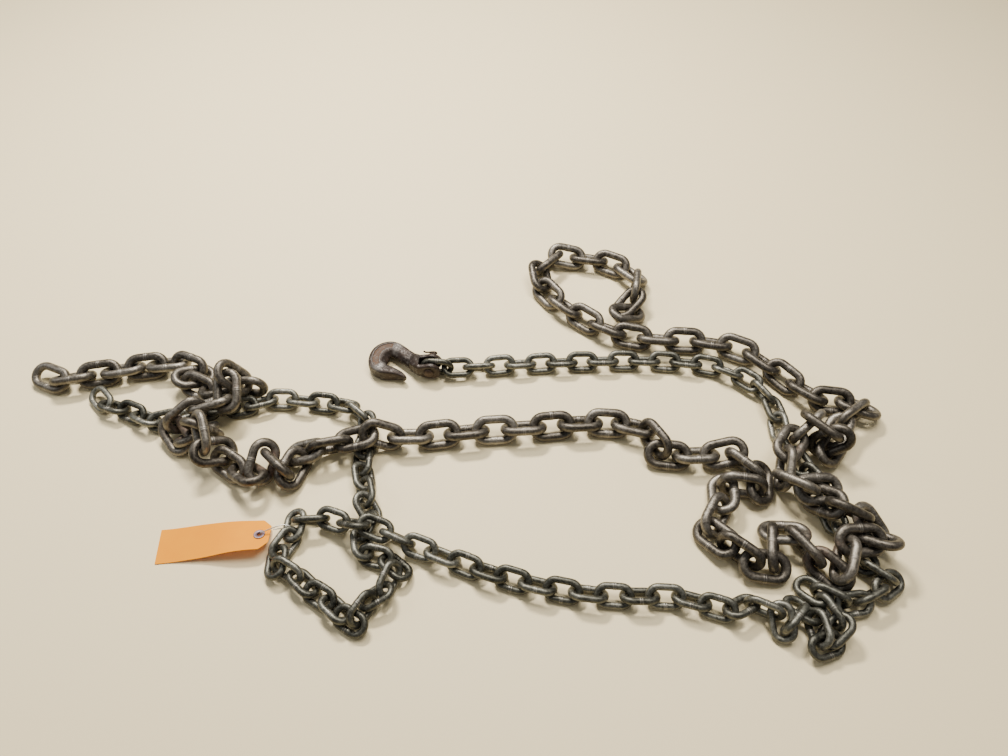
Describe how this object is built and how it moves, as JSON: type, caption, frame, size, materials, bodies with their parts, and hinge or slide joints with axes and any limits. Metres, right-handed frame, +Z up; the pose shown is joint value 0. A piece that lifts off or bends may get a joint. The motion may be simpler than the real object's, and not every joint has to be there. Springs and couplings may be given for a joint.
{
  "type": "heap of steel chain",
  "caption": "Heap of two loose welded steel chains, a large and a smaller one, with a clevis grab hook on the smaller chain's end and a blank paper tag wired to it.",
  "frame": {"origin": "on the floor, under the middle of the heap's box", "axes": "+X to the viewer's right along the heap's longest side, +Y away from the viewer, +Z up"},
  "size_m": [1.0486, 0.574, 0.0621],
  "materials": {
    "large_chain_steel": "worn mill-finish steel, brown-grey with patches of rust",
    "small_chain_steel": "dark grey-green heat-treated steel, satin, light rust",
    "hook_steel": "forged steel with a brown rust patina",
    "pin_steel": "turned steel with a brown rust patina",
    "cotter_steel": "bent wire, rusty",
    "tag_paper": "matt orange tag card, blank",
    "eyelet_metal": "dark purple-grey lacquered eyelet",
    "tag_wire_metal": "thin bright tie wire"
  },
  "bodies": {
    "root": {"clevis_pin": "pin_steel", "cotter_pin": "cotter_steel", "grab_hook": "hook_steel", "large_chain_run_01": "large_chain_steel", "large_chain_run_02": "large_chain_steel", "large_chain_run_03": "large_chain_steel", "large_chain_run_04": "large_chain_steel", "large_chain_run_05": "large_chain_steel", "large_chain_run_06": "large_chain_steel", "large_chain_run_07": "large_chain_steel", "large_chain_run_08": "large_chain_steel", "large_chain_run_09": "large_chain_steel", "large_chain_run_10": "large_chain_steel", "large_chain_run_11": "large_chain_steel", "large_chain_run_12": "large_chain_steel", "large_chain_run_13": "large_chain_steel", "large_chain_run_14": "large_chain_steel", "large_chain_run_15": "large_chain_steel", "large_chain_run_16": "large_chain_steel", "large_chain_run_17": "large_chain_steel", "large_chain_run_18": "large_chain_steel", "large_chain_run_19": "large_chain_steel", "large_chain_run_20": "large_chain_steel", "large_chain_run_21": "large_chain_steel", "large_chain_run_22": "large_chain_steel", "large_chain_run_23": "large_chain_steel", "small_chain_run_01": "small_chain_steel", "small_chain_run_02": "small_chain_steel", "small_chain_run_03": "small_chain_steel", "small_chain_run_04": "small_chain_steel", "small_chain_run_05": "small_chain_steel", "small_chain_run_06": "small_chain_steel", "small_chain_run_07": "small_chain_steel", "small_chain_run_08": "small_chain_steel", "small_chain_run_09": "small_chain_steel", "small_chain_run_10": "small_chain_steel", "small_chain_run_11": "small_chain_steel", "small_chain_run_12": "small_chain_steel", "small_chain_run_13": "small_chain_steel", "small_chain_run_14": "small_chain_steel", "small_chain_run_15": "small_chain_steel", "small_chain_run_16": "small_chain_steel", "small_chain_run_17": "small_chain_steel", "small_chain_run_18": "small_chain_steel", "small_chain_run_19": "small_chain_steel", "small_chain_run_20": "small_chain_steel", "small_chain_run_21": "small_chain_steel", "small_chain_run_22": "small_chain_steel", "small_chain_run_23": "small_chain_steel", "small_chain_run_24": "small_chain_steel", "tag": "tag_paper", "tag_eyelet": "eyelet_metal", "tag_wire": "tag_wire_metal"}
  },
  "joints": []
}
